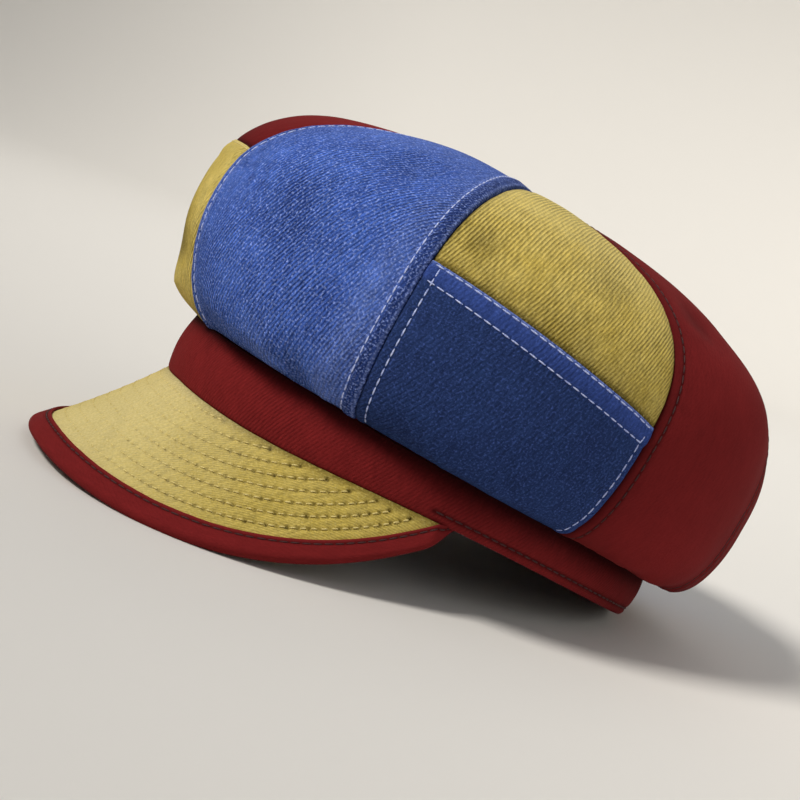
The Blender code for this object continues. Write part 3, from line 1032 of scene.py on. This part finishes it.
def add(tree, kind, inputs=None, output=0, **settings):
    # one node, given its inputs by name or number, and read at one of its outputs
    node = tree.nodes.new("ShaderNode" + kind)
    for name, value in settings.items():
        setattr(node, name, value)
    for name, value in (inputs or {}).items():
        if isinstance(value, bpy.types.NodeSocket):
            tree.links.new(value, node.inputs[name])
        else:
            node.inputs[name].default_value = value
    return node.outputs[output]


def maths(tree, operation, *values, **settings):
    return add(tree, "Math", dict(enumerate(values)), operation=operation, **settings)


def mixed(tree, share, first, second, **settings):
    return add(tree, "Mix", {"Factor": share, 6: first, 7: second}, 2, data_type="RGBA", **settings)


def ranged(tree, value, low, high, toLow=0.0, toHigh=1.0, **settings):
    limits = {"Value": value, "From Min": low, "From Max": high, "To Min": toLow, "To Max": toHigh}
    return add(tree, "MapRange", limits, **settings)


def cloudy(tree, place, scale, detail, roughness=0.5):
    return add(tree, "TexNoise", {"Vector": place, "Scale": scale, "Detail": detail, "Roughness": roughness})


# Cotton denim, woven as a right-hand twill. The eye sees slanted ribs of warp yarn, pale weft in the valleys
# between them, streaks along the warp and uneven fading, and the plain red cloth shows these only faintly.
# Pitches are in mm. Real ribs can be half as far apart: they are drawn coarser, as they look in the photo.
# shadeColour is the colour of painted shade; on the dark blue it is paler, the colour of its double cloth.
# The pale colour after it is that of worn edges, painted highlight and painted light
denimColumns = (
    "slot", "warp", "valley", "weft", "fade", "shadeColour", "wearAndLightColour",
    "twillPitch", "twillAngle", "twillDepth", "flecks", "relief", "tone", "wearAndLightEven",
)
denimRows = {
    "lightBlue": (
        "light_blue_denim", "3f5eb3", "1a2a62", "93a8ea", "4f72cc", "22346c", "93a8ea",
        1.28, 66, 0.84, 0.48, 1.3, 0.45, 0.25,
    ),
    "darkBlue": (
        "dark_blue_denim", "24345f", "1b2546", "4a62ac", "263966", "34498c", "7f94d8",
        1.5, 66, 0.4, 0.3, 1.0, 0.3, 0.0,
    ),
    "yellow": (
        "yellow_denim", "cab258", "4c4016", "d0bd72", "d2bd6a", "4a3f16", "d9c987",
        1.25, 67, 0.72, 0.26, 1.3, 0.34, 0.3,
    ),
    "visorYellow": (
        "yellow_denim", "b8a350", "8c7a34", "cfbf7c", "c0ac5e", "5e5020", "ddd09c",
        0.9, 62, 0.45, 0.18, 0.8, 0.26, 0.6,
    ),
    "red": (
        "red_denim", "6b1d1e", "551416", "7c2627", "711f20", "2c0809", "8c2a2c",
        1.3, 60, 0.12, 0.03, 0.35, 0.1, 0.3,
    ),
    "bandRed": (
        "red_denim", "6f1e1f", "4a1113", "7c2627", "762021", "1c0405", "8c2a2c",
        1.25, 62, 0.4, 0.04, 0.7, 0.18, 0.3,
    ),
}
denims = {name: dict(zip(denimColumns, row)) for name, row in denimRows.items()}


def makeDenim(name, look):
    material, tree, shader = newMaterial(name, 0.95)
    weave = add(tree, "UVMap", uv_map="weave")
    inMm = add(tree, "VectorMath", {0: weave, "Scale": 1000.0}, operation="SCALE")
    # ribs: lines at twillAngle to the weft, a little unsteady
    wobble = maths(tree, "SUBTRACT", cloudy(tree, inMm, 0.035, 2.0), 0.5)
    turned = add(tree, "Mapping", {"Vector": inMm, "Rotation": (0, 0, radians(-look["twillAngle"]))})
    upRibs = add(tree, "SeparateXYZ", {0: turned}, "Y")
    acrossRibs = maths(tree, "MULTIPLY_ADD", wobble, 1.2 * look["twillPitch"], upRibs)
    wave = maths(tree, "SINE", maths(tree, "MULTIPLY", acrossRibs, 2 * pi / look["twillPitch"]))
    rib = ranged(tree, wave, -0.75, 0.45, interpolation_type="SMOOTHSTEP")
    # the ribs' short warp floats, and slubby streaks along the warp
    yarn = cloudy(tree, add(tree, "Mapping", {"Vector": turned, "Scale": (0.8, 2.2, 1)}), 1.0, 3.0)
    streak = cloudy(tree, add(tree, "Mapping", {"Vector": inMm, "Scale": (0.9, 0.16, 1)}), 1.0, 3.0)
    fadeShare = ranged(tree, cloudy(tree, inMm, 0.09, 5.0, 0.62), 0.36, 0.70)
    # ribs stand out more in some places than in others
    ribShow = ranged(tree, cloudy(tree, inMm, 0.028, 2.0), 0.32, 0.60, 0.35)
    ribShow = maths(tree, "MULTIPLY", ribShow, look["twillDepth"])
    dyed = mixed(tree, fadeShare, linear(look["warp"]), linear(look["fade"]))
    # painted shade in seams, stitch grooves, needle holes, hollows of folds, under lapped edges and under the
    # crown, and the paler double cloth of the lower dark blue patch
    shade = add(tree, "Attribute", output="Fac", attribute_name="shade")
    shadeShare = maths(tree, "MULTIPLY", shade, 0.92, use_clamp=True)
    dyed = mixed(tree, shadeShare, dyed, linear(look["shadeColour"]))
    valleyShare = maths(tree, "MULTIPLY", maths(tree, "SUBTRACT", 1.0, rib), ribShow)
    groove = mixed(tree, 1.0, dyed, linear(look["valley"]), blend_type="DARKEN")
    ribbed = mixed(tree, valleyShare, dyed, groove)
    # pale flecks where the weft shows, never larger than a yarn
    fleckNoise = cloudy(tree, inMm, 1.25, 2.0, 0.6)
    fleck = ranged(tree, fleckNoise, 0.52, 0.74, 0.0, look["flecks"] * 2.2)
    flecked = mixed(tree, fleck, ribbed, linear(look["weft"]))
    # yarns vary in depth of dye
    tone = ranged(tree, maths(tree, "ADD", yarn, streak), 0.72, 1.28, 1 - look["tone"], 1 + look["tone"])
    toned = add(tree, "HueSaturation", {"Color": flecked, "Value": tone})
    # worn edges and the visor's front turn pale, and painted highlight and painted light pale raised folds
    # and lit faces
    wearAndLight = add(tree, "Attribute", output="Fac", attribute_name="wearAndLight")
    wearAndLightShare = maths(tree, "MULTIPLY", wearAndLight, ranged(tree, fleckNoise, 0.35, 0.6, look["wearAndLightEven"]))
    finished = mixed(tree, wearAndLightShare, toned, linear(look["wearAndLightColour"]))
    tree.links.new(finished, shader.inputs["Base Color"])
    shader.inputs["IOR"].default_value = 1.47
    shader.inputs["Specular IOR Level"].default_value = 0.06
    # relief: ribs, yarns and a little fuzz
    relief = maths(tree, "MULTIPLY_ADD", yarn, 0.9, maths(tree, "MULTIPLY", rib, ribShow))
    relief = maths(tree, "MULTIPLY_ADD", fleckNoise, 0.8, relief)
    bump = add(tree, "Bump", {"Height": relief, "Strength": 0.9, "Distance": 0.00028 * look["relief"]})
    tree.links.new(bump, shader.inputs["Normal"])
    return material


# Spun cotton sewing thread. It is matt, and its twist gives it fine uneven light and dark along each stitch
threads = {
    "white": {"light": "ccd6fa", "dark": "8498dc"},
    "yellow": {"light": "dac983", "dark": "b5a156"},
    # the red thread is dark red, painted darker than the cloth as the painted shade of the groove it lies in
    "red": {"light": "401012", "dark": "240607"},
}


def makeThread(name, look):
    material, tree, shader = newMaterial(name, 0.75)
    place = add(tree, "TexCoord", output="Object")
    inMm = add(tree, "VectorMath", {0: place, "Scale": 1000.0}, operation="SCALE")
    twist = cloudy(tree, inMm, 2.4, 2.0)
    colour = mixed(tree, ranged(tree, twist, 0.38, 0.55), linear(look["dark"]), linear(look["light"]))
    tree.links.new(colour, shader.inputs["Base Color"])
    bump = add(tree, "Bump", {"Height": twist, "Strength": 0.6, "Distance": 0.00015})
    tree.links.new(bump, shader.inputs["Normal"])
    return material


denimMaterials = {name: makeDenim(name + "DenimTwill", look) for name, look in denims.items()}
threadMaterials = {name: makeThread(name + "CottonThread", look) for name, look in threads.items()}

for gore in gores:
    makeGore(gore, denimMaterials[gore["cloth"]])
print("gores made")
for gore in gores:
    makeGoreStitches(gore, threadMaterials[gore["thread"]])
print("crown stitched")
makeBand(denimMaterials["bandRed"])
makeBandStitches(threadMaterials["red"])
makeVisor(denimMaterials["visorYellow"])
makeVisorStitches(threadMaterials["yellow"])
makeBinding(denimMaterials["red"])
makeBindingStitches(threadMaterials["red"])
print("band, visor and binding made")

# matt painted floor, so pale and even that the eye stays on the cap
stage = {"radius": 2.2, "sweepRadius": 0.7, "wallHeight": 1.9, "colour": "dcdad6", "roughness": 0.9}


def makeStage():
    # a round floor whose rim curves up into a wall, so it is plain from every side
    bm = bmesh.new()
    bmesh.ops.create_circle(bm, cap_ends=True, segments=128, radius=stage["radius"])
    rim = bm.edges[:]
    wall = bmesh.ops.extrude_edge_only(bm, edges=rim)
    raised = [item for item in wall["geom"] if isinstance(item, bmesh.types.BMVert)]
    bmesh.ops.translate(bm, verts=raised, vec=(0, 0, stage["wallHeight"]))
    bmesh.ops.bevel(
        bm, geom=rim, offset=stage["sweepRadius"], segments=20, profile=0.5, affect="EDGES", material=-1
    )
    bmesh.ops.recalc_face_normals(bm, faces=bm.faces)
    if sum(face.normal.z for face in bm.faces if abs(face.normal.z) > 0.99) < 0:
        bmesh.ops.reverse_faces(bm, faces=bm.faces)
    paint, _, shader = newMaterial("mattPaintedFloor", stage["roughness"])
    shader.inputs["Base Color"].default_value = linear(stage["colour"])
    meshObject(bm, "studio_floor", paint)


lights = (
    {"name": "key", "azimuth": 6, "elevation": 47, "spread": 16, "strength": 2.8, "colour": "fffaf2"},
    {
        "name": "fill", "azimuth": 95, "elevation": 30,
        "distance": 1.3, "size": 1.0, "watts": 1.3, "colour": "f2f6ff",
    },
    {
        "name": "back", "azimuth": 230, "elevation": 45,
        "distance": 1.3, "size": 0.9, "watts": 1.6, "colour": "ffffff",
    },
)
lightAim = Vector((0, 0, 0.06))
sky = {"colour": "eef0f4", "strength": 0.32}


def direction(azimuth, elevation):
    a = radians(azimuth)
    e = radians(elevation)
    return Vector((sin(a) * cos(e), -cos(a) * cos(e), sin(e)))


def makeLights():
    for look in lights:
        back = direction(look["azimuth"], look["elevation"])
        if "strength" in look:
            lamp = bpy.data.lights.new(look["name"], "SUN")
            lamp.angle = radians(look["spread"])
            lamp.energy = look["strength"]
        else:
            lamp = bpy.data.lights.new(look["name"], "AREA")
            lamp.shape = "DISK"
            lamp.size = look["size"]
            lamp.energy = look["watts"]
        lamp.color = linear(look["colour"])[:3]
        holder = bpy.data.objects.new(look["name"], lamp)
        holder.location = lightAim + back * look.get("distance", 1)
        holder.rotation_euler = back.to_track_quat("Z", "Y").to_euler()
        bpy.context.collection.objects.link(holder)
    world = bpy.data.worlds.new("studio")
    world.use_nodes = True
    background = world.node_tree.nodes["Background"]
    background.inputs["Color"].default_value = linear(sky["colour"])
    background.inputs["Strength"].default_value = sky["strength"]
    bpy.context.scene.world = world


# fitted to the photo, which is seen a little from above and tilted. The focal length is in pixels of a frame
# framePixels wide
view = {
    "azimuth": 63.203,
    "elevation": 7.559,
    "roll": 19.8136,
    "distance": 0.64464,
    "aim": (-0.000977, -0.007867, 0.051845),
    "focalPixels": 1741.53,
    "framePixels": 800,
    "sensor": 36,  # mm
}


def makeCamera():
    camera = bpy.data.cameras.new("camera")
    camera.lens = view["focalPixels"] / view["framePixels"] * view["sensor"]
    camera.sensor_width = view["sensor"]
    camera.clip_start = 0.01
    camera.clip_end = 20
    back = direction(view["azimuth"], view["elevation"])
    azimuth = radians(view["azimuth"])
    right = Vector((cos(azimuth), sin(azimuth), 0))
    up = back.cross(right)
    roll = radians(view["roll"])
    rolledRight = right * cos(roll) + up * sin(roll)
    rolledUp = back.cross(rolledRight)
    holder = bpy.data.objects.new("camera", camera)
    turn = Matrix((rolledRight, rolledUp, back)).transposed().to_4x4()
    holder.matrix_world = Matrix.Translation(Vector(view["aim"]) + back * view["distance"]) @ turn
    bpy.context.collection.objects.link(holder)
    bpy.context.scene.camera = holder


makeStage()
makeLights()
makeCamera()
bpy.context.scene.view_settings.view_transform = "Standard"
print("stage, lights and camera made")
